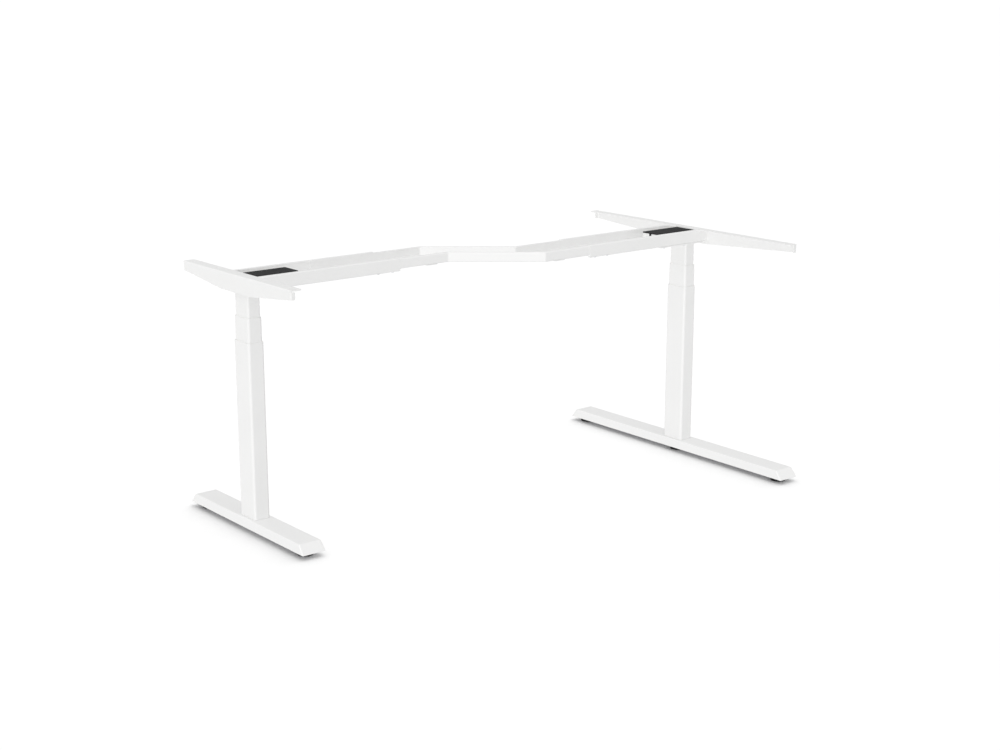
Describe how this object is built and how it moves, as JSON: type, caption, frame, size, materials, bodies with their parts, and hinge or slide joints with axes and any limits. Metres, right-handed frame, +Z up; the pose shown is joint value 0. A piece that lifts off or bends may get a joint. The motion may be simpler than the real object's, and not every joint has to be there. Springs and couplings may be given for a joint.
{
  "type": "height adjustable standing desk frame",
  "caption": "Electric sit-stand desk frame: stepped telescopic columns on low T-feet of unlike depth, joined by a beam that bends forwards, with wing brackets for a worktop.",
  "frame": {"origin": "on the floor, at the middle of the overall width and depth", "axes": "+X to the right along the beam, +Y to the back, +Z up; the front is -Y"},
  "size_m": [1.5906, 0.98, 0.745],
  "materials": {
    "white_powder_coat": "fine matt white powder coat",
    "black_plastic": "matt moulded black plastic",
    "black_steel": "black coated steel",
    "white_plastic": "natural slide plastic",
    "bare_steel": "machined, lightly oiled steel",
    "bronze": "turned bronze"
  },
  "bodies": {
    "left_base": {"left_foot": "white_powder_coat", "left_foot_plate": "bare_steel", "left_outer_tube": "white_powder_coat", "left_column_base_plate": "bare_steel", "left_lower_post": "bare_steel", "left_lower_nut": "bronze"},
    "left_mid_stage": {"left_mid_tube": "white_powder_coat", "left_mid_slide_block": "white_plastic", "left_mid_post": "bare_steel", "left_mid_bearing": "bare_steel", "left_upper_nut": "bronze"},
    "left_hollow_spindle_stage": {"left_hollow_spindle": "bare_steel"},
    "left_upper_spindle_stage": {"left_upper_spindle": "bare_steel", "left_worm_wheel": "bronze"},
    "left_head": {"left_inner_tube": "white_powder_coat", "left_inner_slide_block": "white_plastic", "left_head_plate": "white_powder_coat", "left_gearbox_housing": "black_steel", "left_motor_rotor": "bare_steel", "left_motor_can": "bare_steel", "left_motor_box": "white_powder_coat", "left_motor_cover": "black_plastic", "left_side_bracket": "white_powder_coat", "left_front_channel": "white_powder_coat", "left_back_channel": "white_powder_coat"},
    "right_base": {"right_foot": "white_powder_coat", "right_foot_plate": "bare_steel", "right_outer_tube": "white_powder_coat", "right_column_base_plate": "bare_steel", "right_lower_post": "bare_steel", "right_lower_nut": "bronze"},
    "right_mid_stage": {"right_mid_tube": "white_powder_coat", "right_mid_slide_block": "white_plastic", "right_mid_post": "bare_steel", "right_mid_bearing": "bare_steel", "right_upper_nut": "bronze"},
    "right_hollow_spindle_stage": {"right_hollow_spindle": "bare_steel"},
    "right_upper_spindle_stage": {"right_upper_spindle": "bare_steel", "right_worm_wheel": "bronze"},
    "right_head": {"right_inner_tube": "white_powder_coat", "right_inner_slide_block": "white_plastic", "right_head_plate": "white_powder_coat", "right_gearbox_housing": "black_steel", "right_motor_rotor": "bare_steel", "right_motor_can": "bare_steel", "right_motor_box": "white_powder_coat", "right_motor_cover": "black_plastic", "right_side_bracket": "white_powder_coat", "right_front_channel": "white_powder_coat", "right_back_channel": "white_powder_coat"},
    "rails": {"front_rail": "white_powder_coat", "back_rail": "white_powder_coat", "left_cross_plate": "white_powder_coat", "right_cross_plate": "white_powder_coat"},
    "left_front_glide_stage": {"left_front_glide": "black_plastic"},
    "left_back_glide_stage": {"left_back_glide": "black_plastic"},
    "right_front_glide_stage": {"right_front_glide": "black_plastic"},
    "right_middle_glide_stage": {"right_middle_glide": "black_plastic"},
    "right_back_glide_stage": {"right_back_glide": "black_plastic"}
  },
  "joints": [
    {"name": "lift", "type": "slide", "parent": "left_base", "child": "left_head", "axis": [0, 0, 1], "range_m": [-0.125, 0.525]},
    {"name": "left_mid_lift", "type": "slide", "parent": "left_base", "child": "left_mid_stage", "axis": [0, 0, 1], "range_m": [-0.0625, 0.2625]},
    {"name": "left_width", "type": "slide", "parent": "left_head", "child": "rails", "axis": [1, 0, 0], "range_m": [-0.15, 0.1]},
    {"name": "right_width", "type": "slide", "parent": "rails", "child": "right_head", "axis": [1, 0, 0], "range_m": [-0.15, 0.1]},
    {"name": "right_mid_lift", "type": "slide", "parent": "right_head", "child": "right_mid_stage", "axis": [0, 0, 1], "range_m": [-0.2625, 0.0625]},
    {"name": "right_base_lift", "type": "slide", "parent": "right_head", "child": "right_base", "axis": [0, 0, 1], "range_m": [-0.525, 0.125]},
    {"name": "left_upper_spindle_turn", "type": "hinge", "parent": "left_head", "child": "left_upper_spindle_stage", "pos_m": [-0.7575, 0.176, 0.6], "axis": [0, 0, 1], "continuous": true},
    {"name": "left_hollow_spindle_turn", "type": "hinge", "parent": "left_mid_stage", "child": "left_hollow_spindle_stage", "pos_m": [-0.7575, 0.176, 0.3], "axis": [0, 0, 1], "continuous": true},
    {"name": "right_upper_spindle_turn", "type": "hinge", "parent": "right_head", "child": "right_upper_spindle_stage", "pos_m": [0.7575, 0.006, 0.6], "axis": [0, 0, 1], "continuous": true},
    {"name": "right_hollow_spindle_turn", "type": "hinge", "parent": "right_mid_stage", "child": "right_hollow_spindle_stage", "pos_m": [0.7575, 0.006, 0.3], "axis": [0, 0, 1], "continuous": true},
    {"name": "left_front_levelling", "type": "slide", "parent": "left_base", "child": "left_front_glide_stage", "axis": [0, 0, 1], "range_m": [-0.012, 0]},
    {"name": "left_back_levelling", "type": "slide", "parent": "left_base", "child": "left_back_glide_stage", "axis": [0, 0, 1], "range_m": [-0.012, 0]},
    {"name": "right_front_levelling", "type": "slide", "parent": "right_base", "child": "right_front_glide_stage", "axis": [0, 0, 1], "range_m": [-0.012, 0]},
    {"name": "right_middle_levelling", "type": "slide", "parent": "right_base", "child": "right_middle_glide_stage", "axis": [0, 0, 1], "range_m": [-0.012, 0]},
    {"name": "right_back_levelling", "type": "slide", "parent": "right_base", "child": "right_back_glide_stage", "axis": [0, 0, 1], "range_m": [-0.012, 0]}
  ],
  "couplings": [
    {"joint": "left_mid_lift", "follows": "lift", "ratio": 0.5},
    {"joint": "right_mid_lift", "follows": "lift", "ratio": -0.5},
    {"joint": "right_base_lift", "follows": "lift", "ratio": -1},
    {"joint": "left_upper_spindle_turn", "follows": "lift", "rad_per_m": 523.6},
    {"joint": "left_hollow_spindle_turn", "follows": "lift", "rad_per_m": 523.6},
    {"joint": "right_upper_spindle_turn", "follows": "lift", "rad_per_m": 523.6},
    {"joint": "right_hollow_spindle_turn", "follows": "lift", "rad_per_m": 523.6}
  ]
}
